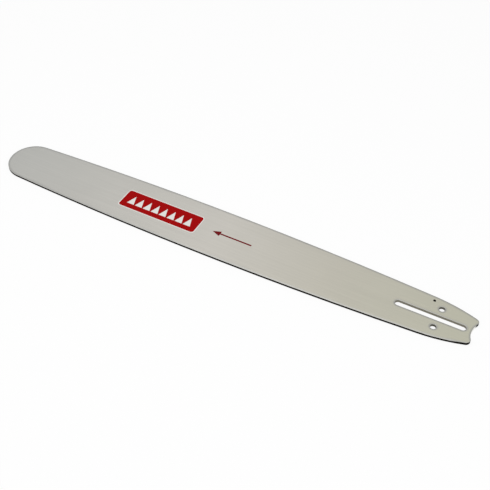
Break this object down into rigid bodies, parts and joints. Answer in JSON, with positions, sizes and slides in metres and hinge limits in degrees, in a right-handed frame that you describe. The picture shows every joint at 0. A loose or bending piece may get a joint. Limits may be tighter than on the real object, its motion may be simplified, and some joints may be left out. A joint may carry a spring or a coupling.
{
  "type": "chainsaw guide bar",
  "caption": "Long flat steel chainsaw guide bar with a rounded hard nose, a chain groove round its edge, and a slotted tail with adjuster and oil holes.",
  "frame": {"origin": "middle of the stud slot, on the lower face that the bar lies on", "axes": "+X along the bar from the nose to the tail, +Y across it, +Z through its thickness, up"},
  "size_m": [0.763, 0.092, 0.0041],
  "materials": {
    "saw_steel": "ground and clear lacquered, satin"
  },
  "bodies": {
    "root": {"guide_bar": "saw_steel"}
  },
  "joints": []
}
